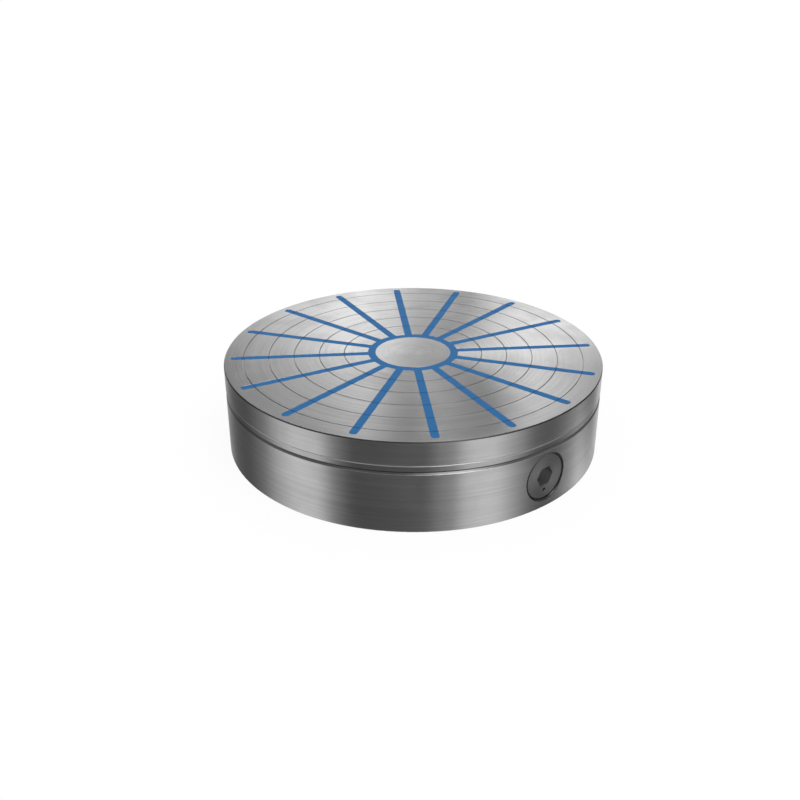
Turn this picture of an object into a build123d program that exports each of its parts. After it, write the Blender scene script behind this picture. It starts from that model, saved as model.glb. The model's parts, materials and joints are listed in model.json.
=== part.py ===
"""Round permanent magnetic chuck with radial poles, switched by a hex key in its side.

Millimetres, +Z up. The origin is the centre of the bottom face, and the key faces -Y.
The key turns a crank pin and slide block, which swing the magnet rotor by half a pole pitch:
in the rest position the magnets straddle the pole gaps and the chuck is off.
"""

from build123d import *
from math import asin, cos, degrees, radians, sin
import os

# Body
outer_radius = 75.0
wall_thickness = 12.0
floor_thickness = 6.0
bottom_chamfer = 0.3
collar_height = 2.3
collar_inset = 0.25
side_groove_depth = 1.0
side_groove_land = 0.2
register_radius = 20.0
register_depth = 2.5

# Pole plate and its resin
plate_thickness = 9.3
plate_top_chamfer = 0.5
plate_bottom_chamfer = 0.25
pole_count = 16
pole_gap = 3.0
pole_gap_rim = 2.5
pole_gap_web = 1.5
centre_disc_radius = 15.0

# Fasteners and seals between body and plate
fixing_inset = 5.5
plate_screw_count = 8
plate_screw_radius = 2.0
plate_screw_length = 16.0
plate_screw_grip = 6.0
plate_screw_head_radius = 3.5
plate_screw_head_height = 4.0
plate_screw_hex = 3.0
plate_screw_hex_depth = 2.0
mounting_hole_count = 4
mounting_hole_radius = 2.5
mounting_hole_depth = 12.0
dowel_count = 2
dowel_radius = 2.0
dowel_length = 12.0
plate_seal_width = 1.4
plate_seal_depth = 1.3
plate_seal_inset = 2.2

# Rotor
rotor_gap = 0.6
magnet_height = 5.0
magnet_inner_radius = 20.0
spider_arm = 2.0
spider_rim = 0.9
spider_drop = 0.2
spider_screw_count = 4
spider_screw_radius = 1.5
spider_screw_circle = 14.5
spider_screw_head_radius = 2.8
spider_screw_head_edge = 0.2
spider_screw_length = 10.0
slip_disc_thickness = 0.25
thrust_washer_thickness = 0.75
thrust_washer_inner_radius = 12.0
thrust_washer_outer_radius = 48.0
bush_wall = 2.5

# Centre post and its screw
post_radius = 8.0
post_foot_radius = 11.0
post_foot_height = 0.6
pivot_screw_radius = 3.0
pivot_screw_head_radius = 6.0
pivot_screw_head_edge = 0.3
pivot_screw_grip = 6.5
pivot_screw_hex = 4.0
pivot_screw_hex_depth = 2.2

# Key
key_height = 12.5
key_cover = 5.2
key_radius = 9.0
key_recess = 0.8
key_end_gap = 0.2
key_edge_chamfer = 0.25
key_bore_countersink = 0.45
hex_across_flats = 7.0
hex_depth = 6.0
dot_radius = 0.75
dot_bottom_radius = 0.225
dot_depth = 0.5
dot_offset = 5.6
key_seal_width = 1.4
key_seal_depth = 1.3
seal_corner = 0.2
key_seal_from_end = 2.4
stop_groove_depth = 1.3
stop_groove_width = 2.4
stop_groove_from_face = 3.4
stop_screw_radius = 2.0
stop_screw_sink = 0.3
stop_screw_hex = 2.0
stop_screw_hex_depth = 1.4
stop_dog_radius = 1.1

# Crank pin and slide block
key_turn = 180.0
crank_pin_radius = 2.5
block_from_wall = 7.0
block_width = 8.0
block_height = 7.0
block_length = 7.0
# Stroke over crank radius at which a steady ratio strays least from the crank's own cosine law,
# and how far it then strays, as a share of the crank radius.
crank_stroke_ratio = 2.2764
crank_stray = 0.1383

# Clearances
running_clearance = 0.05
thread_clearance = 0.05
glue_gap = 0.05
screw_hole_clearance = 0.25
slot_side_clearance = 0.1
slot_end_clearance = 0.5
post_clearance = 0.6
hole_bottom_gap = 1.0
cut_margin = 1.0

# Places that follow from the sizes above
body_height = key_height + key_radius + key_cover
total_height = body_height + plate_thickness
cavity_radius = outer_radius - wall_thickness
fixing_radius = outer_radius - fixing_inset
gap_tip_radius = outer_radius - pole_gap_rim
ring_outer_radius = centre_disc_radius + pole_gap
gap_floor = body_height + pole_gap_web
pole_pitch = 360.0 / pole_count
rotor_turn = pole_pitch / 2
rotor_radius = cavity_radius - rotor_gap
magnet_top = body_height - slip_disc_thickness - running_clearance
magnet_bottom = magnet_top - magnet_height
yoke_bottom = floor_thickness + thrust_washer_thickness + running_clearance
bush_radius = post_radius + running_clearance + bush_wall
inner_ring_radius = post_radius + post_clearance
magnet_outer_radius = rotor_radius - spider_rim
plate_screw_seat = body_height + plate_screw_grip - plate_screw_length
plate_seal_radius = cavity_radius + plate_seal_inset
key_bearing = -90.0
key_face_radius = outer_radius - key_recess
key_length = key_face_radius - cavity_radius - key_end_gap
key_bore_radius = key_radius + running_clearance
block_radius = cavity_radius - block_from_wall
crank_radius = block_radius * radians(rotor_turn) / crank_stroke_ratio
rotor_rest_angle = -rotor_turn / 2
block_tilt_play = block_length / 2 * sin(radians(rotor_turn / 2))
slot_play = crank_radius * crank_stray + block_tilt_play + slot_side_clearance
slot_width = block_width + 2 * slot_play
slot_end_radius = block_radius - block_length / 2 - slot_end_clearance
stop_groove_radius = key_radius - stop_groove_depth

# The key's own frame: X as the part's, depth along the key into the body, and Y pointing down
key_frame = Plane(origin=(0, -key_face_radius, key_height), x_dir=(1, 0, 0), z_dir=(0, 1, 0))
standing = (Align.CENTER, Align.CENTER, Align.MIN)


def turned(*corners):
    """A solid turned about Z from its (radius, height) corners."""
    return revolve(Plane.XZ * make_face(Polyline(*corners, close=True)), Axis.Z)


def rod(radius, low, high):
    """A round rod about Z between two heights."""
    return Pos(0, 0, low) * Cylinder(radius, high - low, align=standing)


def ring(inner, outer, low, high):
    """A plain ring about Z between two heights."""
    return turned((inner, low), (outer, low), (outer, high), (inner, high))


def hex_rod(across_flats, low, high):
    """A hexagonal prism about Z between two heights, with corners on X."""
    outline = RegularPolygon(across_flats / 2, 6, major_radius=False)
    return Pos(0, 0, low) * extrude(outline, high - low)


def at_bearing(piece, offset, radius=0.0):
    """A piece moved out by a radius and turned to an angle counted from the key."""
    return Rot(0, 0, key_bearing + offset) * Pos(radius, 0, 0) * piece


def spaced(count, first):
    """Angles from the key of a number of equally spaced places."""
    return [first + 360.0 / count * number for number in range(count)]


plate_screw_places = spaced(plate_screw_count, 180.0 / plate_screw_count)
mounting_hole_places = spaced(mounting_hole_count, 180.0 / mounting_hole_count)
dowel_places = spaced(dowel_count, 90.0)
spider_screw_places = spaced(spider_screw_count, rotor_rest_angle + 180.0 / spider_screw_count)
pole_gap_places = spaced(pole_count, pole_pitch / 2)


def base_body():
    """Turned dish with collar, side groove, key bore, register and fixing holes."""
    lip = body_height - collar_height
    root = outer_radius - side_groove_depth
    flank_top = lip - side_groove_land
    collar = outer_radius - collar_inset
    body = turned(
        (0, register_depth),
        (register_radius, register_depth),
        (register_radius, 0),
        (outer_radius - bottom_chamfer, 0),
        (outer_radius, bottom_chamfer),
        (outer_radius, flank_top - side_groove_depth),
        (root, flank_top),
        (root, lip),
        (collar, lip),
        (collar, body_height),
        (cavity_radius, body_height),
        (cavity_radius, floor_thickness),
        (0, floor_thickness),
    )
    seal_half = plate_seal_width / 2 + running_clearance
    seal_inner = plate_seal_radius - seal_half
    seal_outer = plate_seal_radius + seal_half
    body -= ring(seal_inner, seal_outer, body_height - plate_seal_depth, body_height + cut_margin)

    bore_end = key_length + key_end_gap + cut_margin
    body -= key_frame * rod(key_bore_radius, -key_recess - cut_margin, bore_end)
    mouth = key_bore_radius + key_bore_countersink
    countersink = Cone(mouth, key_bore_radius, key_bore_countersink, align=standing)
    body -= key_frame * Pos(0, 0, -key_recess) * countersink

    screw_hole = rod(plate_screw_radius + screw_hole_clearance, -cut_margin, body_height + cut_margin)
    screw_hole += rod(plate_screw_head_radius + screw_hole_clearance, -cut_margin, plate_screw_seat)
    body -= [at_bearing(screw_hole, place, fixing_radius) for place in plate_screw_places]
    mounting_hole = rod(mounting_hole_radius, -cut_margin, mounting_hole_depth)
    body -= [at_bearing(mounting_hole, place, fixing_radius) for place in mounting_hole_places]
    dowel_hole = rod(dowel_radius, body_height - dowel_length / 2, body_height + cut_margin)
    body -= [at_bearing(dowel_hole, place, fixing_radius) for place in dowel_places]

    stop_hole = rod(stop_screw_radius + thread_clearance, -cut_margin, key_height)
    body -= at_bearing(stop_hole, 0, key_face_radius - stop_groove_from_face)
    body -= countersunk_hole(
        pivot_screw_radius,
        pivot_screw_head_radius,
        pivot_screw_head_edge,
        register_depth,
    )
    return body


def countersunk_hole(shank, head, edge, face):
    """Cutter about Z for a countersunk screw that enters upward through a face at a height."""
    shank_hole = shank + screw_hole_clearance
    cone_top = face + edge + head - shank_hole
    cutter = turned(
        (0, face - cut_margin),
        (head, face - cut_margin),
        (head, face + edge),
        (shank_hole, cone_top),
        (shank_hole, total_height),
        (0, total_height),
    )
    return cutter


def pole_gaps(low, high):
    """The ring and radial slots between the poles, from one height to another."""
    gap_length = gap_tip_radius - centre_disc_radius - pole_gap
    outline = Circle(ring_outer_radius) - Circle(centre_disc_radius)
    slot = Rectangle(gap_length, pole_gap, align=(Align.MIN, Align.CENTER))
    slot = Pos(centre_disc_radius + pole_gap / 2, 0) * slot
    slot += Pos(gap_tip_radius - pole_gap / 2, 0) * Circle(pole_gap / 2)
    slot -= Circle(centre_disc_radius + pole_gap / 2)
    outline += [Rot(0, 0, key_bearing + place) * slot for place in pole_gap_places]
    return Pos(0, 0, low) * extrude(outline, high - low)


def pole_plate():
    """Steel plate, slotted from above into poles, with blind holes in its underside."""
    plate = turned(
        (0, body_height),
        (outer_radius - plate_bottom_chamfer, body_height),
        (outer_radius, body_height + plate_bottom_chamfer),
        (outer_radius, total_height - plate_top_chamfer),
        (outer_radius - plate_top_chamfer, total_height),
        (0, total_height),
    )
    plate -= pole_gaps(gap_floor, total_height + cut_margin)
    low = body_height - cut_margin
    screw_top = body_height + plate_screw_grip + hole_bottom_gap
    screw_hole = rod(plate_screw_radius + thread_clearance, low, screw_top)
    plate -= [at_bearing(screw_hole, place, fixing_radius) for place in plate_screw_places]
    dowel_hole = rod(dowel_radius, low, body_height + dowel_length / 2)
    plate -= [at_bearing(dowel_hole, place, fixing_radius) for place in dowel_places]
    pivot_top = body_height + pivot_screw_grip + hole_bottom_gap
    plate -= rod(pivot_screw_radius + thread_clearance, low, pivot_top)
    return plate


def pole_gap_resin():
    """One casting that fills the ring and the slots, flush with the plate."""
    return pole_gaps(gap_floor, total_height)


def cap_screw():
    """Cylinder-head screw about Z, head down, at its height in the body."""
    head_bottom = plate_screw_seat - plate_screw_head_height
    screw = rod(plate_screw_head_radius, head_bottom, plate_screw_seat)
    screw += rod(plate_screw_radius, plate_screw_seat, plate_screw_seat + plate_screw_length)
    screw -= hex_rod(plate_screw_hex, head_bottom, head_bottom + plate_screw_hex_depth)
    return screw


def dowel():
    """Dowel about Z, half in the body and half in the plate."""
    return rod(dowel_radius, body_height - dowel_length / 2, body_height + dowel_length / 2)


def countersunk_screw(shank, head, edge, length):
    """Countersunk screw about Z with its head's face at height 0 and its tip up."""
    return turned(
        (0, 0),
        (head, 0),
        (head, edge),
        (shank, edge + head - shank),
        (shank, length),
        (0, length),
    )


def pivot_screw():
    """Countersunk screw from the register through floor and post into the plate."""
    length = body_height + pivot_screw_grip - register_depth
    head = pivot_screw_head_radius - screw_hole_clearance
    screw = countersunk_screw(pivot_screw_radius, head, pivot_screw_head_edge, length)
    screw -= hex_rod(pivot_screw_hex, 0, pivot_screw_hex_depth)
    return Pos(0, 0, register_depth) * screw


def pivot_post():
    """Centre post with a low foot, bored for its screw."""
    hole = pivot_screw_radius + screw_hole_clearance
    foot_top = floor_thickness + post_foot_height
    return turned(
        (hole, floor_thickness),
        (post_foot_radius, floor_thickness),
        (post_foot_radius, foot_top),
        (post_radius, foot_top),
        (post_radius, body_height),
        (hole, body_height),
    )


def seal_ring(inner, outer, low, high):
    """Square-section rubber ring about Z with its corners taken off."""
    return turned(
        (inner + seal_corner, low),
        (outer - seal_corner, low),
        (outer, low + seal_corner),
        (outer, high - seal_corner),
        (outer - seal_corner, high),
        (inner + seal_corner, high),
        (inner, high - seal_corner),
        (inner, low + seal_corner),
    )


def plate_seal_ring():
    """Seal in the top of the body's wall."""
    half = plate_seal_width / 2
    low = body_height - plate_seal_depth
    return seal_ring(plate_seal_radius - half, plate_seal_radius + half, low, body_height)


def rotor_yoke():
    """Steel rotor disc with its bore, its rim slot for the slide block and the spider's tapped holes."""
    yoke = ring(bush_radius, rotor_radius, yoke_bottom, magnet_bottom)
    depth = rotor_radius + cut_margin - slot_end_radius
    tall = magnet_bottom - yoke_bottom + 2 * cut_margin
    slot = Box(depth, slot_width, tall, align=(Align.MIN, Align.CENTER, Align.MIN))
    yoke -= at_bearing(Pos(0, 0, yoke_bottom - cut_margin) * slot, rotor_rest_angle, slot_end_radius)
    hole_bottom = magnet_top - spider_drop - spider_screw_length - hole_bottom_gap
    hole = rod(spider_screw_radius + thread_clearance, hole_bottom, magnet_bottom + cut_margin)
    yoke -= [at_bearing(hole, place, spider_screw_circle) for place in spider_screw_places]
    return yoke


def rotor_bush():
    """Plain bush in the yoke, which runs on the post."""
    return ring(post_radius + running_clearance, bush_radius, yoke_bottom, magnet_bottom)


def spider_outline(arm, rim_inner, hub_outer):
    """The holder's hub, arms and rim in plan, on the rotor's rest angle."""
    hub = Circle(hub_outer) - Circle(inner_ring_radius)
    rim = Circle(rotor_radius) - Circle(rim_inner)
    reach = (hub_outer + inner_ring_radius) / 2
    arm_length = rotor_radius - reach - spider_rim / 2
    bar = Pos(reach, 0) * Rectangle(arm_length, arm, align=(Align.MIN, Align.CENTER))
    angles = [key_bearing + rotor_rest_angle + place for place in pole_gap_places]
    return hub + rim + [Rot(0, 0, angle) * bar for angle in angles]


def magnet_spider():
    """Holder between the magnets, screwed to the yoke."""
    top = magnet_top - spider_drop
    outline = spider_outline(spider_arm, magnet_outer_radius, magnet_inner_radius)
    spider = Pos(0, 0, magnet_bottom) * extrude(outline, top - magnet_bottom)
    cutter = countersunk_hole(spider_screw_radius, spider_screw_head_radius, spider_screw_head_edge, 0)
    cutter = Pos(0, 0, top) * Rot(180, 0, 0) * cutter
    spider -= [at_bearing(cutter, place, spider_screw_circle) for place in spider_screw_places]
    return spider


def spider_screws():
    """Countersunk screws that hold the spider on the yoke."""
    head = spider_screw_head_radius - screw_hole_clearance
    screw = countersunk_screw(spider_screw_radius, head, spider_screw_head_edge, spider_screw_length)
    screw = Pos(0, 0, magnet_top - spider_drop) * Rot(180, 0, 0) * screw
    return [at_bearing(screw, place, spider_screw_circle) for place in spider_screw_places]


def magnet(number):
    """One sector magnet between two arms of the spider."""
    inner = magnet_inner_radius + glue_gap
    outer = magnet_outer_radius - glue_gap
    side = spider_arm / 2 + glue_gap
    half = radians(pole_pitch / 2)
    direction = (cos(half), sin(half))
    normal = (-sin(half), cos(half))

    def corner(radius):
        along = (radius**2 - side**2) ** 0.5
        return (direction[0] * along - normal[0] * side, direction[1] * along - normal[1] * side)

    low_x, low_y = corner(inner)
    high_x, high_y = corner(outer)
    edges = [
        ThreePointArc((low_x, -low_y), (inner, 0), (low_x, low_y)),
        Line((low_x, low_y), (high_x, high_y)),
        ThreePointArc((high_x, high_y), (outer, 0), (high_x, -high_y)),
        Line((high_x, -high_y), (low_x, -low_y)),
    ]
    block = Pos(0, 0, magnet_bottom) * extrude(make_face(Curve() + edges), magnet_height)
    return at_bearing(block, rotor_rest_angle + pole_pitch * number)


def key_shaft():
    """Key barrel with hex socket, dot, stop groove and seal groove, and its crank pin."""
    barrel = chamfer(rod(key_radius, 0, key_length).edges().group_by(Axis.Z)[0], key_edge_chamfer)
    pin_end = key_face_radius - block_radius + block_length / 2
    pin = rod(crank_pin_radius, key_length, pin_end)
    pin = chamfer(pin.edges().group_by(Axis.Z)[-1], key_edge_chamfer)
    shaft = barrel + Pos(-crank_radius, 0, 0) * pin
    shaft -= hex_rod(hex_across_flats, -cut_margin, hex_depth)
    shaft -= Pos(0, dot_offset, 0) * Cone(dot_radius, dot_bottom_radius, dot_depth, align=standing)

    seal_middle = key_length - key_seal_from_end
    seal_half = key_seal_width / 2 + running_clearance
    seal_floor = key_radius - key_seal_depth
    shaft -= ring(seal_floor, key_radius + cut_margin, seal_middle - seal_half, seal_middle + seal_half)

    margin = degrees(asin((stop_dog_radius + running_clearance) / stop_groove_radius))
    low = stop_groove_from_face - stop_groove_width / 2
    high = stop_groove_from_face + stop_groove_width / 2
    far = key_radius + cut_margin
    corners = [(stop_groove_radius, low), (far, low), (far, high), (stop_groove_radius, high)]
    profile = Plane.XZ * make_face(Polyline(*corners, close=True))
    groove = revolve(profile, Axis.Z, revolution_arc=key_turn + 2 * margin)
    shaft -= Rot(0, 0, -key_turn / 2 - margin) * groove
    return key_frame * shaft


def key_seal_ring():
    """Seal in the barrel's groove."""
    low = key_length - key_seal_from_end - key_seal_width / 2
    inner = key_radius - key_seal_depth + running_clearance
    return key_frame * seal_ring(inner, key_radius, low, low + key_seal_width)


def key_stop_screw():
    """Set screw from below whose dog runs in the barrel's stop groove."""
    dog_top = key_height - stop_groove_radius - running_clearance
    thread_top = key_height - key_bore_radius - running_clearance
    screw = rod(stop_screw_radius, stop_screw_sink, thread_top)
    screw += rod(stop_dog_radius, thread_top, dog_top)
    screw -= hex_rod(stop_screw_hex, stop_screw_sink, stop_screw_sink + stop_screw_hex_depth)
    return at_bearing(screw, 0, key_face_radius - stop_groove_from_face)


def slide_block():
    """Bronze block on the crank pin, in the yoke's slot."""
    start = key_face_radius - block_radius - block_length / 2
    block = Box(block_width, block_height, block_length, align=standing)
    block = chamfer(block.edges().filter_by(Axis.Z), key_edge_chamfer)
    block -= rod(crank_pin_radius + running_clearance, -cut_margin, block_length + cut_margin)
    return key_frame * Pos(-crank_radius, 0, start) * block


nodes = {
    "base_body": base_body(),
    "pole_plate": pole_plate(),
    "pole_gap_resin": pole_gap_resin(),
    "plate_seal_ring": plate_seal_ring(),
    "plate_screws": Compound([at_bearing(cap_screw(), place, fixing_radius) for place in plate_screw_places]),
    "plate_dowels": Compound([at_bearing(dowel(), place, fixing_radius) for place in dowel_places]),
    "pivot_post": pivot_post(),
    "pivot_screw": pivot_screw(),
    "thrust_washer": ring(
        thrust_washer_inner_radius,
        thrust_washer_outer_radius,
        floor_thickness,
        floor_thickness + thrust_washer_thickness,
    ),
    "slip_disc": ring(inner_ring_radius, rotor_radius, body_height - slip_disc_thickness, body_height),
    "rotor_yoke": rotor_yoke(),
    "rotor_bush": rotor_bush(),
    "magnet_spider": magnet_spider(),
    "spider_screws": Compound(spider_screws()),
    "key_shaft": key_shaft(),
    "key_seal_ring": key_seal_ring(),
    "key_stop_screw": key_stop_screw(),
    "slide_block": slide_block(),
}
for number in range(pole_count):
    nodes[f"magnet_{number + 1:02d}"] = magnet(number)

os.makedirs("parts", exist_ok=True)
for name, piece in nodes.items():
    export_step(piece, f"parts/{name}.step")
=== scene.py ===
"""Looks of the round magnetic chuck: finishes, grooved holding face, studio and camera.

Metres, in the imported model's frame: +Z up, the origin at the centre of the bottom face, and the
key facing -Y.
"""

import json
import logging
import math
from dataclasses import dataclass
from enum import Enum

import bmesh
import bpy
from mathutils import Matrix, Vector


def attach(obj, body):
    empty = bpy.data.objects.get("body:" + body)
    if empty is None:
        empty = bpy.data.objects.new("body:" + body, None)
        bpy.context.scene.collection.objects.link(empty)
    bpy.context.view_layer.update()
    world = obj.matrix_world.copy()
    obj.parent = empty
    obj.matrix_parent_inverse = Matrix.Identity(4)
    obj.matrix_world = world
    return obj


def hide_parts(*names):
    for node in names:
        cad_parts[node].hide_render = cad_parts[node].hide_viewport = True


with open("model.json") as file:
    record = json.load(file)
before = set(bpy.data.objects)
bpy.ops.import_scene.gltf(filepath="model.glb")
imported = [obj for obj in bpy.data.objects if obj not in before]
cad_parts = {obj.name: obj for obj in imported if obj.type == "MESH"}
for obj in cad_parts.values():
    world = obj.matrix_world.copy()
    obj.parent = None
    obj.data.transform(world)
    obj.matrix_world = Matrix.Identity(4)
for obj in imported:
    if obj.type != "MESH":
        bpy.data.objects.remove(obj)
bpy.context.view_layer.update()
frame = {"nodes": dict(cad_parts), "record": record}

log = logging.getLogger("chuck")

MM = 0.001
MIX_FIRST, MIX_SECOND, MIX_RESULT = 6, 7, 2  # the Mix node's colour sockets
WELD_DISTANCE = 0.0005 * MM
SLIVER_LENGTH = 0.0002 * MM
SHARP_DEGREES = 20.0
FULL_TURN = 360
RIGHT_ANGLE = 90
QUARTER_TURN = 0.25

Point = tuple[float, float, float]
Colour = tuple[float, float, float, float]
Span = tuple[float, float]
Stops = tuple[tuple[float, float], ...]


def grey(level: float) -> Colour:
    """Neutral colour of one linear level."""
    return (level, level, level, 1.0)


class TurnAxis(Enum):
    """The line that a turned surface was cut about."""

    CHUCK = "Z"
    KEY = "Y"


class Slot(Enum):
    """The record's material slots."""

    TURNED_STEEL = "turned_steel"
    GROUND_STEEL = "ground_steel"
    BLUE_RESIN = "blue_resin"
    KEY_STEEL = "key_steel"
    SCREW_STEEL = "screw_steel"
    BRIGHT_STEEL = "bright_steel"
    MAGNET_PLATING = "magnet_plating"
    SPIDER_ALLOY = "spider_alloy"
    BRONZE = "bronze"
    NITRILE = "nitrile"


class Coat(Enum):
    """The plate's finishes, in the order of its mesh's materials."""

    WALL = 0
    FACE = 1
    DISC = 2


class Graph:
    """A node tree with short calls that add and join its nodes."""

    def __init__(self, tree: bpy.types.NodeTree) -> None:
        """Clear the tree and keep it."""
        self.tree = tree
        tree.nodes.clear()

    def add(self, kind: str, **settings: object) -> bpy.types.Node:
        """Add a node.

        Args:
            kind: Blender's name for the node type.
            settings: properties of the node to set.

        Returns:
            The new node.
        """
        node = self.tree.nodes.new(kind)
        for key, value in settings.items():
            setattr(node, key, value)
        return node

    def feed(self, target: bpy.types.NodeSocket, source: object) -> None:
        """Join a socket to an input, or set the input to a value.

        Args:
            target: the input's socket.
            source: a socket, or the value to set.
        """
        if isinstance(source, bpy.types.NodeSocket):
            self.tree.links.new(source, target)
        else:
            target.default_value = source

    def maths(self, operation: str, *inputs: object) -> bpy.types.NodeSocket:
        """Add a Math node.

        Args:
            operation: Blender's name for the sum to do.
            inputs: sockets or numbers, in order.

        Returns:
            The result's socket.
        """
        node = self.add("ShaderNodeMath", operation=operation)
        for number, source in enumerate(inputs):
            self.feed(node.inputs[number], source)
        return node.outputs[0]

    def vector(self, operation: str, *inputs: object) -> bpy.types.Node:
        """Add a Vector Math node.

        Args:
            operation: Blender's name for the sum to do.
            inputs: sockets or vectors, in order.

        Returns:
            The node, whose outputs differ with the operation.
        """
        node = self.add("ShaderNodeVectorMath", operation=operation)
        for number, source in enumerate(inputs):
            self.feed(node.inputs[number], source)
        return node

    def ease(
        self, value: bpy.types.NodeSocket, span: Span, start: float = 0.0, end: float = 1.0
    ) -> bpy.types.NodeSocket:
        """Turn a range of a value smoothly into another range.

        Args:
            value: the socket to read.
            span: where the change starts and where it ends.
            start: the result at and before the span.
            end: the result at and after it.

        Returns:
            The result's socket.
        """
        node = self.add("ShaderNodeMapRange", interpolation_type="SMOOTHSTEP")
        for number, source in enumerate((value, *span, start, end)):
            self.feed(node.inputs[number], source)
        return node.outputs[0]

    def blend(self, share: bpy.types.NodeSocket, first: object, second: object) -> bpy.types.NodeSocket:
        """Mix two colours.

        Args:
            share: how much of the second is used.
            first: socket or colour at share 0.
            second: socket or colour at share 1.

        Returns:
            The mixed colour's socket.
        """
        node = self.add("ShaderNodeMix", data_type="RGBA")
        self.feed(node.inputs[0], share)
        self.feed(node.inputs[MIX_FIRST], first)
        self.feed(node.inputs[MIX_SECOND], second)
        return node.outputs[MIX_RESULT]

    def noise(
        self, place: bpy.types.NodeSocket, scale: float, detail: float = 2.0, rough: float = 0.5
    ) -> bpy.types.NodeSocket:
        """Add noise.

        Args:
            place: the coordinates' socket.
            scale: features per unit of those coordinates.
            detail: how many finer layers it has.
            rough: how strong they are.

        Returns:
            The noise's socket, from 0 to 1.
        """
        node = self.add("ShaderNodeTexNoise")
        self.feed(node.inputs["Vector"], place)
        node.inputs["Scale"].default_value = scale
        node.inputs["Detail"].default_value = detail
        node.inputs["Roughness"].default_value = rough
        return node.outputs[0]

    def millimetres(self) -> bpy.types.NodeSocket:
        """Read the place on the object.

        Returns:
            The place's socket, in millimetres.
        """
        place = self.add("ShaderNodeTexCoord").outputs["Object"]
        scaled = self.vector("SCALE", place)
        scaled.inputs["Scale"].default_value = 1 / MM
        return scaled.outputs[0]

    def ramp(self, value: bpy.types.NodeSocket, stops: list[tuple[float, float]]) -> bpy.types.NodeSocket:
        """Turn a value into a grey level, eased between stops.

        Args:
            value: the socket to read, from 0 to 1.
            stops: (value, level) pairs in rising order.

        Returns:
            The colour's socket.
        """
        node = self.add("ShaderNodeValToRGB")
        node.color_ramp.interpolation = "EASE"
        elements = node.color_ramp.elements
        while len(elements) < len(stops):
            elements.new(0.5)
        for element, (position, level) in zip(elements, stops):
            element.position = position
            element.color = grey(level)
        self.feed(node.inputs[0], value)
        return node.outputs[0]


@dataclass(frozen=True)
class CutterTrack:
    """Place on a turned piece, told by the axis it was turned about."""

    axis: TurnAxis = TurnAxis.CHUCK
    axis_height: float = 0.0

    def read(self, graph: Graph) -> tuple[bpy.types.NodeSocket, bpy.types.NodeSocket, bpy.types.NodeSocket]:
        """Work out where a point lies about the axis.

        Args:
            graph: the material's graph.

        Returns:
            Sockets for the direction from the axis, the distance from it and the place along it.
        """
        parts = graph.add("ShaderNodeSeparateXYZ")
        graph.feed(parts.inputs[0], graph.millimetres())
        across, along, height = parts.outputs
        if self.axis is TurnAxis.KEY:
            along, height = graph.maths("SUBTRACT", height, self.axis_height), along
        flat = graph.add("ShaderNodeCombineXYZ")
        graph.feed(flat.inputs[0], across)
        graph.feed(flat.inputs[1], along)
        direction = graph.vector("NORMALIZE", flat.outputs[0]).outputs[0]
        reach = graph.vector("LENGTH", flat.outputs[0]).outputs["Value"]
        return direction, reach, height

    def lines(self, graph: Graph, pitch: float, turns: float) -> bpy.types.NodeSocket:
        """Noise drawn out along the cutter's track.

        Args:
            graph: the material's graph.
            pitch: distance between tracks in millimetres.
            turns: how fast a track changes along its length.

        Returns:
            The noise's socket, without a seam anywhere round the axis.
        """
        direction, reach, height = self.read(graph)
        circle = graph.vector("SCALE", direction)
        circle.inputs["Scale"].default_value = turns
        across = graph.add("ShaderNodeCombineXYZ")
        graph.feed(across.inputs[2], graph.maths("DIVIDE", graph.maths("ADD", reach, height), pitch))
        place = graph.vector("ADD", circle.outputs[0], across.outputs[0]).outputs[0]
        return graph.noise(place, 1.0)


@dataclass(frozen=True)
class PaintedShadingBand:
    """Band of a turned piece whose tone is multiplied by a shade: below 1 it paints shade, as in a groove,
    and above 1 it paints light.

    Radii and depths are in millimetres from the band's axis and along it.
    """

    inner: float
    outer: float
    low: float
    high: float
    shade: float
    blur: float = 0.04
    every: float = 0.0
    track: CutterTrack = CutterTrack()

    def shift(self, graph: Graph, tone: bpy.types.NodeSocket) -> bpy.types.NodeSocket:
        """Multiply a tone by the band's shade, inside the band only, which paints shade or light there.

        Args:
            graph: the material's graph.
            tone: the tone's socket.

        Returns:
            The changed tone's socket.
        """
        _, place, height = self.track.read(graph)
        if self.every:
            offset = graph.maths("SUBTRACT", place, self.inner)
            place = graph.maths("ADD", graph.maths("MODULO", offset, self.every), self.inner)
        inside = graph.ease(place, self.soft(self.inner))
        for value, edge in ((place, self.outer), (height, self.high)):
            inside = graph.maths("MULTIPLY", inside, graph.ease(value, self.soft(edge), 1.0, 0.0))
        inside = graph.maths("MULTIPLY", inside, graph.ease(height, self.soft(self.low)))
        return graph.maths("MULTIPLY", tone, graph.ease(inside, (0.0, 1.0), 1.0, self.shade))

    def soft(self, edge: float) -> Span:
        """Where the change across one edge starts and ends."""
        return (edge - self.blur, edge + self.blur)


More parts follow.
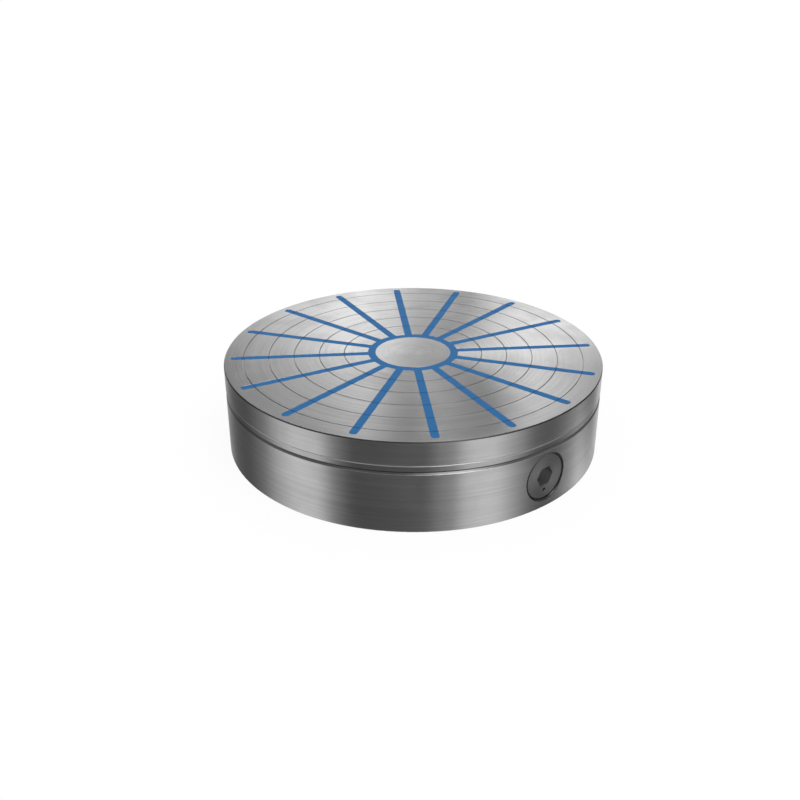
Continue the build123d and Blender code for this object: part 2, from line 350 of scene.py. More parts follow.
@dataclass(frozen=True)
class TurnedMetal:
    """Metal with the fine concentric lines that a lathe or a rotary grinder leaves.

    Lines lie on broader swathes, and both on faint smudges. Pitches, depths and sizes are in
    millimetres, contrasts are shares of the tone, and spans are levels of the noise.
    """

    name: str
    colour: Colour
    roughness: float
    anisotropy: float = 0.9
    track: CutterTrack = CutterTrack()
    bands: tuple[PaintedShadingBand, ...] = ()
    line_pitch: float = 0.8
    line_turns: float = 1.2
    line_depth: float = 0.0006
    line_contrast: float = 0.05
    swathe_pitch: float = 3.2
    swathe_turns: float = 0.7
    swathe_contrast: float = 0.02
    noise_span: Span = (0.25, 0.75)
    smudge_size: float = 16.0
    smudge_span: Span = (0.42, 0.70)
    smudge: float = 0.04
    roughness_spread: float = 0.012
    roughness_span: Span = (0.2, 0.8)

    def build(self) -> bpy.types.Material:
        """Make the material.

        Returns:
            The finished node material.
        """
        material = bpy.data.materials.new(self.name)
        material.use_nodes = True
        graph = Graph(material.node_tree)
        lines = self.track.lines(graph, self.line_pitch, self.line_turns)
        swathes = self.track.lines(graph, self.swathe_pitch, self.swathe_turns)
        smudges = graph.ease(graph.noise(graph.millimetres(), 1 / self.smudge_size), self.smudge_span)

        tone = graph.ease(lines, self.noise_span, 1 - self.line_contrast, 1 + self.line_contrast)
        broad = graph.ease(swathes, self.noise_span, 1 - self.swathe_contrast, 1 + self.swathe_contrast)
        tone = graph.maths("MULTIPLY", tone, broad)
        tone = graph.maths("MULTIPLY", tone, graph.ease(smudges, (0.0, 1.0), 1.0, 1 - self.smudge))
        # Each band multiplies the tone inside it: below 1 it paints shade, above 1 it paints light.
        for band in self.bands:
            tone = band.shift(graph, tone)
        colour = graph.vector("SCALE", self.colour[:3])
        graph.feed(colour.inputs["Scale"], tone)

        spread = graph.maths("MULTIPLY", graph.maths("ADD", swathes, smudges), 0.5)
        low, high = self.roughness - self.roughness_spread, self.roughness + self.roughness_spread
        bump = graph.add("ShaderNodeBump")
        bump.inputs["Distance"].default_value = self.line_depth * MM
        graph.feed(bump.inputs["Height"], lines)
        tangent = graph.add("ShaderNodeTangent", direction_type="RADIAL", axis=self.track.axis.value)
        surface = graph.add("ShaderNodeBsdfPrincipled")
        surface.inputs["Metallic"].default_value = 1.0
        surface.inputs["Anisotropic"].default_value = self.anisotropy
        surface.inputs["Anisotropic Rotation"].default_value = QUARTER_TURN
        graph.feed(surface.inputs["Base Color"], colour.outputs[0])
        graph.feed(surface.inputs["Roughness"], graph.ease(spread, self.roughness_span, low, high))
        graph.feed(surface.inputs["Normal"], bump.outputs[0])
        graph.feed(surface.inputs["Tangent"], tangent.outputs[0])
        output = graph.add("ShaderNodeOutputMaterial")
        graph.feed(output.inputs[0], surface.outputs[0])
        return material


@dataclass(frozen=True)
class MouldedFinish:
    """Cast, plated, milled or moulded surface with a fine mottle.

    Sizes, depths and pitches are in millimetres, the mottle is a share of the tone, and a turned
    pitch adds the cutter's lines where the surface was faced with the metal round it.
    """

    name: str
    colour: Colour
    roughness: float
    metallic: float = 0.0
    specular: float = 0.5
    grain_size: float = 0.6
    grain_depth: float = 0.003
    mottle_size: float = 9.0
    mottle: float = 0.08
    noise_span: Span = (0.35, 0.65)
    roughness_spread: float = 0.05
    turned_pitch: float = 0.0
    turned_turns: float = 2.0
    bands: tuple[PaintedShadingBand, ...] = ()

    def build(self) -> bpy.types.Material:
        """Make the material.

        Returns:
            The finished node material.
        """
        material = bpy.data.materials.new(self.name)
        material.use_nodes = True
        graph = Graph(material.node_tree)
        place = graph.millimetres()
        grain = graph.noise(place, 1 / self.grain_size, detail=3.0, rough=0.6)
        mottle = graph.noise(place, 1 / self.mottle_size, detail=4.0, rough=0.6)
        if self.turned_pitch:
            turned = CutterTrack().lines(graph, self.turned_pitch, self.turned_turns)
            grain = graph.maths("MULTIPLY", graph.maths("ADD", grain, turned), 0.5)
        mixed = graph.maths("MULTIPLY", graph.maths("ADD", grain, mottle), 0.5)
        tone = graph.ease(mixed, self.noise_span, 1 - self.mottle, 1 + self.mottle)
        # Each band multiplies the tone inside it: below 1 it paints shade, above 1 it paints light.
        for band in self.bands:
            tone = band.shift(graph, tone)
        colour = graph.vector("SCALE", self.colour[:3])
        graph.feed(colour.inputs["Scale"], tone)
        bump = graph.add("ShaderNodeBump")
        bump.inputs["Distance"].default_value = self.grain_depth * MM
        graph.feed(bump.inputs["Height"], grain)
        surface = graph.add("ShaderNodeBsdfPrincipled")
        surface.inputs["Metallic"].default_value = self.metallic
        surface.inputs["Specular IOR Level"].default_value = self.specular
        graph.feed(surface.inputs["Base Color"], colour.outputs[0])
        low, high = self.roughness - self.roughness_spread, self.roughness + self.roughness_spread
        graph.feed(surface.inputs["Roughness"], graph.ease(mixed, self.noise_span, low, high))
        graph.feed(surface.inputs["Normal"], bump.outputs[0])
        output = graph.add("ShaderNodeOutputMaterial")
        graph.feed(output.inputs[0], surface.outputs[0])
        return material


class FinishRack:
    """The chuck's finishes, one for each material slot, and those of the ground face and its disc.

    Colours are linear, and the bands' radii and heights are in millimetres. The bands paint shade into the
    grooves, onto the collar under the plate's edge, the plate's top edge, the key's bore and its dot, and
    paint light into its socket.
    """

    def __init__(self) -> None:
        """Make every material once."""
        steel = grey(0.60)
        key = CutterTrack(TurnAxis.KEY, axis_height=12.5)
        # Painted shade in the centring grooves, on the steel face and on the blue casting.
        centring = PaintedShadingBand(inner=27.3, outer=27.7, low=35.5, high=36.1, shade=0.4, every=10.0)
        centring_resin_painted_shade = PaintedShadingBand(inner=27.3, outer=27.7, low=35.5, high=36.1, shade=0.5, every=10.0)
        # Painted shade along the plate's top chamfer.
        top_edge_painted_shade = PaintedShadingBand(inner=74.66, outer=75.2, low=35.5, high=35.97, shade=0.15)
        # Painted shade in the side groove below the plate.
        side_groove_painted_shade = PaintedShadingBand(inner=70.0, outer=74.93, low=23.2, high=24.45, shade=0.33)
        # Painted shade on the collar, under the plate's edge.
        collar = PaintedShadingBand(inner=74.6, outer=74.8, low=24.4, high=26.25, shade=0.84)
        # Painted shade in the mouth of the key's bore.
        key_bore_painted_shade = PaintedShadingBand(inner=8.8, outer=9.6, low=-75.2, high=-73.2, shade=0.15, track=key)
        # Painted light inside the key's hex socket.
        socket = PaintedShadingBand(inner=-1.0, outer=4.3, low=-74.15, high=-60.0, shade=1.15, track=key)
        # Painted shade in the key's punched dot.
        dot = PaintedShadingBand(inner=4.6, outer=8.4, low=-74.16, high=-71.0, shade=0.1, track=key)
        finishes = {
            Slot.TURNED_STEEL: TurnedMetal(
                "turned_body_steel", steel, 0.25, anisotropy=1.0, bands=(side_groove_painted_shade, collar, key_bore_painted_shade),
            ),
            Slot.GROUND_STEEL: TurnedMetal(
                "turned_plate_steel", steel, 0.25, anisotropy=1.0, bands=(top_edge_painted_shade,),
            ),
            Slot.KEY_STEEL: TurnedMetal(
                "blackened_key_steel", grey(0.45), 0.40, anisotropy=0.5, track=key, bands=(socket, dot),
            ),
            Slot.BLUE_RESIN: MouldedFinish(
                "blue_pole_resin", (0.021, 0.122, 0.300, 1.0), 0.5, specular=0.06, turned_pitch=0.9,
                mottle=0.06, bands=(centring_resin_painted_shade,),
            ),
            Slot.SCREW_STEEL: MouldedFinish(
                "black_screw_steel", grey(0.09), 0.4, metallic=1.0, grain_size=0.3,
            ),
            Slot.BRIGHT_STEEL: TurnedMetal("bright_steel", grey(0.62), 0.3, anisotropy=0.7),
            Slot.MAGNET_PLATING: MouldedFinish(
                "nickel_plating", (0.66, 0.65, 0.62, 1.0), 0.22, metallic=1.0, grain_depth=0.001,
            ),
            Slot.SPIDER_ALLOY: MouldedFinish("milled_alloy", (0.72, 0.73, 0.74, 1.0), 0.35, metallic=1.0),
            Slot.BRONZE: TurnedMetal("turned_bronze", (0.60, 0.42, 0.22, 1.0), 0.3, anisotropy=0.7),
            Slot.NITRILE: MouldedFinish("black_rubber", grey(0.02), 0.6, grain_size=0.4),
        }
        self.materials = {slot: finish.build() for slot, finish in finishes.items()}
        # The ground face carries the painted shade of the centring grooves.
        self.face = TurnedMetal("ground_face_steel", steel, 0.19, anisotropy=1.0, bands=(centring,)).build()
        self.disc = TurnedMetal("ground_disc_steel", steel, 0.22, anisotropy=0.3).build()

    def dress(self, node: str) -> None:
        """Give a carried-over node the finish of its slot.

        Args:
            node: the node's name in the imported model.
        """
        thing = frame["nodes"][node]
        rows = frame["record"]["subparts"]
        slot = next(Slot(row["material_slot"]) for row in rows if row["node"] == node)
        for place in thing.material_slots:
            place.material = self.materials[slot]


class MeshDraft:
    """Rows of points joined into one mesh."""

    def __init__(self) -> None:
        """Start empty, with every new face in the piece's first finish."""
        self.mesh = bmesh.new()
        self.coat = Coat.WALL

    def row(self, points: list[Point]) -> list[bmesh.types.BMVert]:
        """Add a row of points and return it."""
        return [self.mesh.verts.new(point) for point in points]

    def band(
        self, first: list[bmesh.types.BMVert], second: list[bmesh.types.BMVert], closed: bool = False
    ) -> None:
        """Join two rows of the same length with quads.

        Args:
            first: one row.
            second: the next row.
            closed: whether the rows run all the way round.
        """
        count = len(first)
        for number in range(count if closed else count - 1):
            after = (number + 1) % count
            face = self.mesh.faces.new((first[number], first[after], second[after], second[number]))
            face.material_index = self.coat.value

    def fan(self, row: list[bmesh.types.BMVert], tip: Point) -> None:
        """Close a round row with triangles to one point.

        Args:
            row: the row.
            tip: the point.
        """
        middle = self.mesh.verts.new(tip)
        for number, point in enumerate(row):
            face = self.mesh.faces.new((point, row[(number + 1) % len(row)], middle))
            face.material_index = self.coat.value

    def finish(self, name: str, materials: list[bpy.types.Material], slot: Slot) -> bpy.types.Object:
        """Clean the mesh and put it in the scene.

        Args:
            name: the piece's name.
            materials: its finishes, in the order of the faces' coats.
            slot: the record's slot for it, which is not used.

        Returns:
            The new object.
        """
        bmesh.ops.remove_doubles(self.mesh, verts=self.mesh.verts, dist=WELD_DISTANCE)
        bmesh.ops.dissolve_degenerate(self.mesh, edges=self.mesh.edges, dist=SLIVER_LENGTH)
        bmesh.ops.recalc_face_normals(self.mesh, faces=self.mesh.faces)
        data = bpy.data.meshes.new(name)
        self.mesh.to_mesh(data)
        self.mesh.free()
        for material in materials:
            data.materials.append(material)
        data.shade_smooth()
        data.set_sharp_from_angle(angle=math.radians(SHARP_DEGREES))
        piece = bpy.data.objects.new(name, data)
        bpy.context.scene.collection.objects.link(piece)
        return piece


@dataclass(frozen=True)
class HoldingFace:
    """Pole plate and the blue casting in its gaps, cut across by fine centring grooves.

    Lengths are in metres. The plain rows are radii that keep the faces even, and the disc's rows are
    shares of its radius.
    """

    outer_radius: float = 75 * MM
    top: float = 36 * MM
    underside: float = 26.7 * MM
    gap_floor: float = 28.2 * MM
    top_chamfer: float = 0.5 * MM
    top_chamfer_width: float = 0.3 * MM
    bottom_chamfer: float = 0.25 * MM
    pole_count: int = 16
    gap: float = 3 * MM
    gap_tip: float = 72.5 * MM
    disc_radius: float = 15 * MM
    first_groove: float = 27.5 * MM
    groove_step: float = 10 * MM
    groove_width: float = 0.35 * MM
    groove_depth: float = 0.12 * MM
    edge_break: float = 0.05 * MM
    resin_low: float = 0.02 * MM
    first_gap_degrees: float = -90 + 11.25
    plain_rows: tuple[float, ...] = (22.5 * MM, 32.5 * MM, 42.5 * MM, 52.5 * MM, 62.5 * MM, 70.0 * MM)
    disc_rows: tuple[float, ...] = (0.6, 0.2)
    sector_columns: int = 20
    gap_columns: int = 6
    tip_rows: int = 8

    @property
    def ring_radius(self) -> float:
        """Outer radius of the blue ring."""
        return self.disc_radius + self.gap

    def gap_edge(self, radius: float) -> float:
        """Work out how wide a gap is at a radius.

        Args:
            radius: the distance from the chuck's axis.

        Returns:
            Half the angle that the gap takes up, and nothing beyond its tip.
        """
        half = self.gap / 2
        centre = self.gap_tip - half
        if radius <= math.hypot(centre, half):
            return math.asin(half / radius)
        if radius >= self.gap_tip:
            return 0.0
        return math.acos((radius**2 + centre**2 - half**2) / (2 * radius * centre))

    def groove_radii(self) -> list[float]:
        """Radius of each centring groove."""
        count = int((self.gap_tip - self.first_groove) / self.groove_step) + 1
        return [self.first_groove + self.groove_step * number for number in range(count)]

    def sector_rows(self) -> list[tuple[float, float]]:
        """Lay out the rows of points from the ring to the gaps' tips.

        Returns:
            Each row's radius and its depth below the face.
        """
        half = self.groove_width / 2
        rows = {self.ring_radius: self.edge_break, self.ring_radius + self.edge_break: 0.0}
        for radius in self.groove_radii():
            rows.update({radius - half: 0.0, radius: self.groove_depth, radius + half: 0.0})
        rows.update({radius: 0.0 for radius in self.plain_rows})
        centre = self.gap_tip - self.gap / 2
        for number in range(self.tip_rows + 1):
            rows[centre + self.gap / 2 * math.sin(math.pi / 2 * number / self.tip_rows)] = 0.0
        return sorted(rows.items())

    def sector_angles(self, radius: float, number: int) -> list[float]:
        """Lay out the columns of points across one steel pole, from gap edge to gap edge.

        Args:
            radius: the row's radius.
            number: the pole's number.

        Returns:
            The columns' angles, with those of the broken edges.
        """
        pitch = math.tau / self.pole_count
        start = math.radians(self.first_gap_degrees) + pitch * number
        edge = self.gap_edge(radius)
        chamfer = self.edge_break / radius
        low, high = start + edge + chamfer, start + pitch - edge - chamfer
        inner = [low + (high - low) * step / self.sector_columns for step in range(self.sector_columns + 1)]
        return [start + edge, *inner, start + pitch - edge]

    def gap_angles(self, radius: float, number: int) -> list[float]:
        """Lay out the columns of points across one gap.

        Args:
            radius: the row's radius.
            number: the gap's number.

        Returns:
            The columns' angles.
        """
        middle = math.radians(self.first_gap_degrees) + math.tau / self.pole_count * number
        edge = self.gap_edge(radius)
        return [middle - edge + 2 * edge * step / self.gap_columns for step in range(self.gap_columns + 1)]

    def circle_angles(self, radius: float) -> list[float]:
        """Lay out the columns of points all round, each gap's and then each pole's.

        Args:
            radius: the row's radius.

        Returns:
            The columns' angles, without the poles' outer ones, which the gaps have.
        """
        angles: list[float] = []
        for number in range(self.pole_count):
            angles += self.gap_angles(radius, number)
            angles += self.sector_angles(radius, number)[1:-1]
        return angles

    @staticmethod
    def at(radius: float, angle: float, height: float) -> Point:
        """Point at a radius, an angle and a height."""
        return (radius * math.cos(angle), radius * math.sin(angle), height)

    def build_plate(self, rack: FinishRack) -> bpy.types.Object:
        """Make the steel plate with its poles, gaps, centre disc and rim.

        Args:
            rack: the finishes.

        Returns:
            The plate, riding on the housing.
        """
        draft = MeshDraft()
        rows = self.sector_rows()
        for number in range(self.pole_count):
            self.add_pole(draft, rows, number)
        self.add_rim(draft)
        self.add_disc(draft)
        finishes = [rack.materials[Slot.GROUND_STEEL], rack.face, rack.disc]
        plate = draft.finish("pole_plate_grooved", finishes, Slot.GROUND_STEEL)
        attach(plate, "housing")
        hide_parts("pole_plate")
        return plate

    def add_pole(self, draft: MeshDraft, rows: list[tuple[float, float]], number: int) -> None:
        """Add one pole's face, its sides and the floor of the gap beside it.

        Args:
            draft: the plate's mesh.
            rows: radius and depth of each row.
            number: the pole's number.
        """
        draft.coat = Coat.FACE
        before = None
        for radius, depth in rows:
            angles = self.sector_angles(radius, number)
            rim = self.edge_break if radius < self.gap_tip else 0.0
            drops = [max(depth, rim), *[depth] * (len(angles) - 2), max(depth, rim)]
            row = draft.row([self.at(radius, a, self.top - d) for a, d in zip(angles, drops)])
            low = draft.row([self.at(radius, a, self.gap_floor) for a in (angles[0], angles[-1])])
            floor = draft.row([self.at(radius, a, self.gap_floor) for a in self.gap_angles(radius, number)])
            if before is None:
                arc = draft.row([self.at(radius, a, self.gap_floor) for a in angles])
                draft.band(row, arc)
            else:
                draft.band(before[0], row)
                for end in (0, -1):
                    draft.band([before[0][end], before[1][end]], [row[end], low[end]])
                draft.band(before[2], floor)
            before = (row, low, floor)

    def add_rim(self, draft: MeshDraft) -> None:
        """Add the plain rim outside the gaps, ground like the poles, the side wall and the underside.

        Args:
            draft: the plate's mesh.
        """
        profile = [
            (self.gap_tip, self.top),
            (self.outer_radius - self.top_chamfer_width, self.top),
            (self.outer_radius, self.top - self.top_chamfer),
            (self.outer_radius, self.underside + self.bottom_chamfer),
            (self.outer_radius - self.bottom_chamfer, self.underside),
        ]
        before = None
        for radius, height in profile:
            angles = [a for n in range(self.pole_count) for a in self.sector_angles(self.gap_tip, n)[:-1]]
            row = draft.row([self.at(radius, a, height) for a in angles])
            if before:
                draft.band(before, row, closed=True)
                draft.coat = Coat.WALL
            before = row
        draft.fan(before, (0.0, 0.0, self.underside))

    def add_disc(self, draft: MeshDraft) -> None:
        """Add the centre disc and the floor of the ring round it.

        Args:
            draft: the plate's mesh.
        """
        draft.coat = Coat.DISC
        angles = self.circle_angles(self.ring_radius)
        profile = [
            (self.ring_radius, self.gap_floor),
            (self.disc_radius, self.gap_floor),
            (self.disc_radius, self.top - self.edge_break),
            (self.disc_radius - self.edge_break, self.top),
            *[(self.disc_radius * share, self.top) for share in self.disc_rows],
        ]
        before = None
        for radius, height in profile:
            row = draft.row([self.at(radius, a, height) for a in angles])
            if before:
                draft.band(before, row, closed=True)
            before = row
        draft.fan(before, (0.0, 0.0, self.top))

    def build_resin(self, rack: FinishRack) -> bpy.types.Object:
        """Make the blue casting: one ring and its spokes.

        Args:
            rack: the finishes.

        Returns:
            The casting, riding on the housing.
        """
        draft = MeshDraft()
        face = self.top - self.resin_low
        ring = self.circle_angles(self.ring_radius)
        inner = [draft.row([self.at(self.disc_radius, a, h) for a in ring]) for h in (self.gap_floor, face)]
        outer = [draft.row([self.at(self.ring_radius, a, h) for a in ring]) for h in (self.gap_floor, face)]
        draft.band(inner[0], inner[1], closed=True)
        draft.band(inner[0], outer[0], closed=True)
        draft.band(inner[1], outer[1], closed=True)
        plain = self.ring_radius + 2 * self.edge_break
        rows = [(radius, 0.0 if radius < plain else depth) for radius, depth in self.sector_rows()]
        for number in range(self.pole_count):
            before = None
            for radius, depth in rows:
                angles = self.gap_angles(radius, number)
                top = draft.row([self.at(radius, a, face - depth) for a in angles])
                low = draft.row([self.at(radius, a, self.gap_floor) for a in angles])
                if before:
                    draft.band(before[0], top)
                    draft.band(before[1], low)
                    for end in (0, -1):
                        draft.band([before[0][end], before[1][end]], [top[end], low[end]])
                before = (top, low)
            arc = self.sector_angles(self.ring_radius, number)
            draft.band(
                draft.row([self.at(self.ring_radius, a, self.gap_floor) for a in arc]),
                draft.row([self.at(self.ring_radius, a, face) for a in arc]),
            )
        casting = draft.finish("pole_resin_casting", [rack.materials[Slot.BLUE_RESIN]], Slot.BLUE_RESIN)
        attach(casting, "housing")
        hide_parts("pole_gap_resin")
        return casting


@dataclass(frozen=True)
class Housing:
    """The turned dish and what is fixed in it.

    The thin edge on the collar reaches out and drops in a quarter round, and its foot is a share of
    that drop.
    """

    collar_radius: float = 74.75 * MM
    collar_top: float = 26.7 * MM
    edge_reach: float = 0.22 * MM
    edge_drop: float = 0.4 * MM
    edge_foot: float = 1.3
    edge_steps: int = 5
    edge_columns: int = 240
    nodes: tuple[str, ...] = (
        "base_body", "plate_seal_ring", "plate_screws", "plate_dowels", "pivot_post", "pivot_screw",
        "thrust_washer", "slip_disc", "key_stop_screw", "pole_plate", "pole_gap_resin",
    )

    def dress(self, rack: FinishRack) -> None:
        """Finish every node of the housing."""
        for node in self.nodes:
            rack.dress(node)

    def build_collar_edge(self, rack: FinishRack) -> bpy.types.Object:
        """Make the thin rounded edge that catches the light on top of the collar.

        Args:
            rack: the finishes.

        Returns:
            The edge, riding on the housing.
        """
        draft = MeshDraft()
        profile = []
        for step in range(self.edge_steps + 1):
            turn = math.pi / 2 * step / self.edge_steps
            radius = self.collar_radius + self.edge_reach * math.sin(turn)
            profile.append((radius, self.collar_top - self.edge_drop * (1 - math.cos(turn))))
        profile.append((self.collar_radius, self.collar_top - self.edge_foot * self.edge_drop))
        angles = [math.tau * column / self.edge_columns for column in range(self.edge_columns)]
        rows = [draft.row([HoldingFace.at(radius, a, level) for a in angles]) for radius, level in profile]
        for before, row in zip(rows, rows[1:]):
            draft.band(before, row, closed=True)
        draft.band(rows[-1], rows[0], closed=True)
        edge = draft.finish("collar_edge", [rack.materials[Slot.TURNED_STEEL]], Slot.TURNED_STEEL)
        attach(edge, "housing")
        return edge


@dataclass(frozen=True)
class Rotor:
    """The magnet rotor."""

    magnet_count: int = 16
    nodes: tuple[str, ...] = ("rotor_yoke", "rotor_bush", "magnet_spider", "spider_screws", "slide_block")

    def dress(self, rack: FinishRack) -> None:
        """Finish the rotor, its magnets and the block that moves it.

        Args:
            rack: the finishes.
        """
        magnets = [f"magnet_{number + 1:02d}" for number in range(self.magnet_count)]
        for node in [*self.nodes, *magnets]:
            rack.dress(node)


@dataclass(frozen=True)
class Key:
    """The key barrel with its hex socket."""

    nodes: tuple[str, ...] = ("key_shaft", "key_seal_ring")

    def dress(self, rack: FinishRack) -> None:
        """Finish the key."""
        for node in self.nodes:
            rack.dress(node)


@dataclass(frozen=True)
class PhotoCamera:
    """Camera that stands where the photograph was taken from.

    Angles are in radians but for the turn about the chuck's axis, lengths in metres and the sensor in
    millimetres.
    """

    distance: float = 0.40229
    elevation: float = 0.49483
    turn_degrees: float = -39.95
    yaw: float = 0.013116
    pitch: float = 0.031755
    roll: float = -0.006908
    focal_pixels: float = 961.127
    frame_pixels: float = 800.0
    sensor: float = 36.0
    nearest: float = 0.01
    furthest: float = 50.0

    def place(self) -> bpy.types.Object:
        """Make the camera.

        Returns:
            The scene's camera.
        """
        back, height = self.distance * math.cos(self.elevation), self.distance * math.sin(self.elevation)
        eye = Vector((0.0, -back, height))
        ahead = -eye.normalized()
        right = Vector((1.0, 0.0, 0.0))
        up = right.cross(ahead)
        swing = Matrix.Rotation(self.yaw, 3, up)
        ahead, right = swing @ ahead, swing @ right
        nod = Matrix.Rotation(self.pitch, 3, right)
        ahead, up = nod @ ahead, nod @ up
        tilt = Matrix.Rotation(self.roll, 3, ahead)
        right, up = tilt @ right, tilt @ up
        stance = Matrix((right, up, -ahead)).transposed().to_4x4()
        stance.translation = eye
        data = bpy.data.cameras.new("photo_camera")
        data.sensor_width = self.sensor
        data.lens = self.focal_pixels * self.sensor / self.frame_pixels
        data.clip_start = self.nearest
        data.clip_end = self.furthest
        camera = bpy.data.objects.new("photo_camera", data)
        camera.matrix_world = Matrix.Rotation(math.radians(self.turn_degrees), 4, "Z") @ stance
        bpy.context.scene.collection.objects.link(camera)
        bpy.context.scene.camera = camera
        return camera


@dataclass(frozen=True)
class Studio:
    """Pale floor, the surroundings that the steel mirrors, and one soft light that it doesn't.

    The surroundings are told by direction, each band with its levels by bearing: underfoot, the low
    and the high cards, which the side wall mirrors, the pale horizon up to the skyline, which the
    holding face mirrors, and over it the ceiling with a band of windows. The spans say at which
    elevations one band gives way to the next. The camera sees plain white in their place, and the
    floor isn't mirrored. Bearings and elevations are in degrees, and bearings count about Z as in
    the photograph, where the camera stands at -90 and the back is at 90.
    """

    turn_degrees: float = -39.95
    floor_size: float = 60.0
    floor_drop: float = 0.02 * MM
    floor_colour: float = 0.95
    shadow_share: float = 0.09
    light_strength: float = 1.55
    light_spread_degrees: float = 100.0
    first_bearing: float = -250.0
    underfoot: Stops = (
        (-250, 0.3), (50, 0.3), (70, 2.5), (100, 2.5), (109, 0.3),
    )
    high_cards: Stops = (
        (-250, 0.65), (-238, 0.32), (-228, 0.12), (-205, 0.09), (-188, 0.26), (-175, 0.75), (-162, 1.00),
        (-149, 0.85), (-135, 0.17), (-125, 0.04), (-85, 0.045), (-68, 0.27), (-54, 0.82), (-40, 0.88),
        (-27, 0.50), (-14, 0.17), (-1, 0.09), (12, 0.08), (25, 0.08), (37, 0.09), (50, 0.30), (62, 0.92),
        (68, 0.80), (74, 0.25), (81, 0.25), (88, 0.50), (109, 0.60),
    )
    low_cards: Stops = (
        (-250, 0.80), (-238, 0.38), (-228, 0.12), (-205, 0.09), (-188, 0.22), (-175, 0.66), (-162, 0.90),
        (-149, 0.78), (-135, 0.15), (-125, 0.04), (-85, 0.055), (-68, 0.26), (-54, 0.80), (-40, 0.92),
        (-27, 0.62), (-14, 0.16), (-1, 0.03), (12, 0.10), (25, 0.60), (37, 1.9), (50, 2.2), (62, 1.9),
        (75, 1.35), (95, 1.00), (109, 0.80),
    )
    horizon: Stops = (
        (-250, 1.35), (-242, 1.1), (-226, 0.42), (-205, 0.24), (-180, 0.4), (-60, 0.4), (30, 0.35),
        (54, 0.6), (66, 0.85), (74, 1.2), (79, 1.35), (81.5, 2.0), (83.5, 2.0), (86, 1.4), (88, 1.45),
        (93, 1.95), (97, 1.75), (103, 1.5), (109, 1.35),
    )
    skyline: Stops = (
        (-250, 22), (-242, 24), (-230, 22), (-200, 12), (30, 12), (58, 20), (74, 21), (79, 22), (82, 28),
        (84, 26), (86, 20.5), (90, 21.5), (93, 27), (96, 23), (103, 20.5), (109, 22),
    )
    skyline_blur: float = 6.0
    ceiling: Stops = (
        (-250, 0.08), (-232, 0.08), (-205, 0.22), (-180, 0.50), (-140, 0.55), (-40, 0.55), (28, 0.45),
        (54, 0.15), (64, 0.05), (109, 0.05),
    )
    window: Stops = (
        (-250, 0.08), (-236, 0.08), (-205, 0.18), (-180, 0.35), (-112, 0.35), (-96, 0.5), (-82, 1.5),
        (-66, 3.5), (-48, 5.0), (-34, 3.3), (-20, 1.0), (-4, 0.4), (30, 0.35), (60, 0.2), (70, 0.65),
        (77, 1.1), (86, 1.5), (89, 0.2), (109, 0.08),
    )
    nadir_level: float = 1.4
    overhead_level: float = 0.6
    underfoot_rise: Span = (-82, -74)
    low_card_rise: Span = (-66, -48)
    high_card_rise: Span = (-35, -27)
    horizon_rise: Span = (-6, -2)
    window_rise: Span = (40, 48)
    window_end: Span = (64, 74)
    overhead_rise: Span = (66, 80)

    def build_floor(self) -> bpy.types.Object:
        """Make the floor.

        Returns:
            The floor, which isn't part of the chuck.
        """
        draft = bmesh.new()
        half = self.floor_size / 2
        corners = [(-half, -half), (half, -half), (half, half), (-half, half)]
        draft.faces.new([draft.verts.new((x, y, -self.floor_drop)) for x, y in corners])
        data = bpy.data.meshes.new("studio_floor")
        draft.to_mesh(data)
        draft.free()
        floor = bpy.data.objects.new("studio_floor", data)
        bpy.context.scene.collection.objects.link(floor)
        data.materials.append(self.floor_material())
        floor.visible_glossy = False
        return floor

    def floor_material(self) -> bpy.types.Material:
        """Make the pale matt finish that keeps a light shadow.

        Returns:
            The floor's material.
        """
        material = bpy.data.materials.new("pale_floor")
        material.use_nodes = True
        graph = Graph(material.node_tree)
        matt = graph.add("ShaderNodeBsdfDiffuse")
        matt.inputs[0].default_value = grey(self.floor_colour)
        white = graph.add("ShaderNodeEmission")
        path = graph.add("ShaderNodeLightPath")
        seen = graph.maths("MAXIMUM", path.outputs["Is Camera Ray"], path.outputs["Is Glossy Ray"])
        seen = graph.maths("MAXIMUM", seen, path.outputs["Is Transmission Ray"])
        mix = graph.add("ShaderNodeMixShader")
        graph.feed(mix.inputs[0], graph.maths("MULTIPLY", seen, 1 - self.shadow_share))
        graph.feed(mix.inputs[1], matt.outputs[0])
        graph.feed(mix.inputs[2], white.outputs[0])
        output = graph.add("ShaderNodeOutputMaterial")
        graph.feed(output.inputs[0], mix.outputs[0])
        return material

    def all_round(self, graph: Graph, share: bpy.types.NodeSocket, stops: Stops) -> bpy.types.NodeSocket:
        """Turn (bearing, level) stops into a ramp round the horizon.

        Args:
            graph: the world's graph.
            share: the bearing, as a share of the full turn.
            stops: the bearings and the levels there.

        Returns:
            The level's socket.
        """
        shares = [((bearing - self.first_bearing) / FULL_TURN, level) for bearing, level in stops]
        return graph.ramp(share, shares)

    def read_direction(self, graph: Graph) -> tuple[bpy.types.NodeSocket, bpy.types.NodeSocket]:
        """Work out which way a ray leaves.

        Args:
            graph: the world's graph.

        Returns:
            Sockets for the bearing, as a share of the full turn, and for the elevation in degrees.
        """
        parts = graph.add("ShaderNodeSeparateXYZ")
        graph.feed(parts.inputs[0], graph.add("ShaderNodeTexCoord").outputs["Generated"])
        turn = graph.maths("ARCTAN2", parts.outputs[1], parts.outputs[0])
        share = graph.maths("DIVIDE", turn, math.tau)
        share = graph.maths("ADD", share, (-self.first_bearing - self.turn_degrees) / FULL_TURN)
        elevation = graph.maths("MULTIPLY", graph.maths("ARCSINE", parts.outputs[2]), 180 / math.pi)
        return graph.maths("FRACT", share), elevation

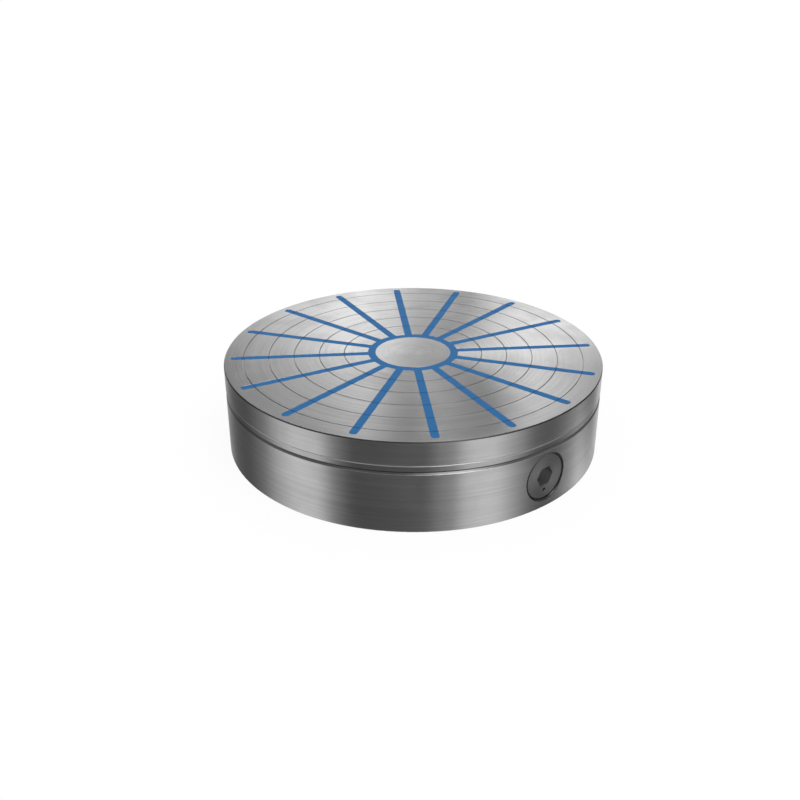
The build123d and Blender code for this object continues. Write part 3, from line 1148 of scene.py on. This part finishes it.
    def shade_below(
        self, graph: Graph, share: bpy.types.NodeSocket, elevation: bpy.types.NodeSocket
    ) -> bpy.types.NodeSocket:
        """Shade the surroundings below the horizon.

        Args:
            graph: the world's graph.
            share: the bearing, as a share of the full turn.
            elevation: the elevation in degrees.

        Returns:
            The shade's socket.
        """
        low = self.all_round(graph, share, self.low_cards)
        high = self.all_round(graph, share, self.high_cards)
        cards = graph.blend(graph.ease(elevation, self.high_card_rise), low, high)
        underfoot = self.all_round(graph, share, self.underfoot)
        below = graph.blend(graph.ease(elevation, self.low_card_rise), underfoot, cards)
        return graph.blend(graph.ease(elevation, self.underfoot_rise), grey(self.nadir_level), below)

    def shade_above(
        self, graph: Graph, share: bpy.types.NodeSocket, elevation: bpy.types.NodeSocket
    ) -> bpy.types.NodeSocket:
        """Shade the horizon, and the ceiling over the skyline.

        Args:
            graph: the world's graph.
            share: the bearing, as a share of the full turn.
            elevation: the elevation in degrees.

        Returns:
            The shade's socket.
        """
        windows = graph.maths(
            "MULTIPLY",
            graph.ease(elevation, self.window_rise),
            graph.ease(elevation, self.window_end, 1.0, 0.0),
        )
        plain = self.all_round(graph, share, self.ceiling)
        ceiling = graph.blend(windows, plain, self.all_round(graph, share, self.window))
        ceiling = graph.blend(graph.ease(elevation, self.overhead_rise), ceiling, grey(self.overhead_level))

        tops = tuple((bearing, top / RIGHT_ANGLE) for bearing, top in self.skyline)
        skyline = graph.maths("MULTIPLY", self.all_round(graph, share, tops), RIGHT_ANGLE)
        over = graph.maths("SUBTRACT", elevation, skyline)
        edge = (-self.skyline_blur / 2, self.skyline_blur / 2)
        return graph.blend(graph.ease(over, edge), self.all_round(graph, share, self.horizon), ceiling)

    def build_surroundings(self) -> None:
        """Make the world."""
        world = bpy.data.worlds.new("studio")
        world.use_nodes = True
        graph = Graph(world.node_tree)
        share, elevation = self.read_direction(graph)
        below = self.shade_below(graph, share, elevation)
        above = self.shade_above(graph, share, elevation)
        sky = graph.blend(graph.ease(elevation, self.horizon_rise), below, above)
        around = graph.add("ShaderNodeBackground")
        graph.feed(around.inputs[0], sky)
        backdrop = graph.add("ShaderNodeBackground")
        backdrop.inputs[0].default_value = grey(1.0)
        mix = graph.add("ShaderNodeMixShader")
        graph.feed(mix.inputs[0], graph.add("ShaderNodeLightPath").outputs["Is Camera Ray"])
        graph.feed(mix.inputs[1], around.outputs[0])
        graph.feed(mix.inputs[2], backdrop.outputs[0])
        output = graph.add("ShaderNodeOutputWorld")
        graph.feed(output.inputs[0], mix.outputs[0])
        bpy.context.scene.world = world

    def hang_light(self) -> bpy.types.Object:
        """Hang the wide soft light, which the metal doesn't mirror.

        Returns:
            The light.
        """
        data = bpy.data.lights.new("soft_overhead", "SUN")
        data.energy = self.light_strength
        data.angle = math.radians(self.light_spread_degrees)
        light = bpy.data.objects.new("soft_overhead", data)
        light.location = (0.0, 0.0, 1.0)
        light.visible_glossy = False
        bpy.context.scene.collection.objects.link(light)
        return light


def main() -> None:
    """Build the dressed chuck, its studio and the camera."""
    logging.basicConfig(level=logging.INFO, format="%(name)s: %(message)s")
    bpy.context.scene.view_settings.view_transform = "Standard"
    rack = FinishRack()
    housing = Housing()
    for part in (housing, Rotor(), Key()):
        part.dress(rack)
        log.info("dressed %s", type(part).__name__)
    face = HoldingFace()
    for piece in (face.build_plate(rack), face.build_resin(rack), housing.build_collar_edge(rack)):
        log.info("built %s with %d faces", piece.name, len(piece.data.polygons))
    studio = Studio()
    studio.build_surroundings()
    log.info("built %s", studio.build_floor().name)
    log.info("hung %s", studio.hang_light().name)
    log.info("placed %s", PhotoCamera().place().name)


if __name__ == "__main__":
    main()
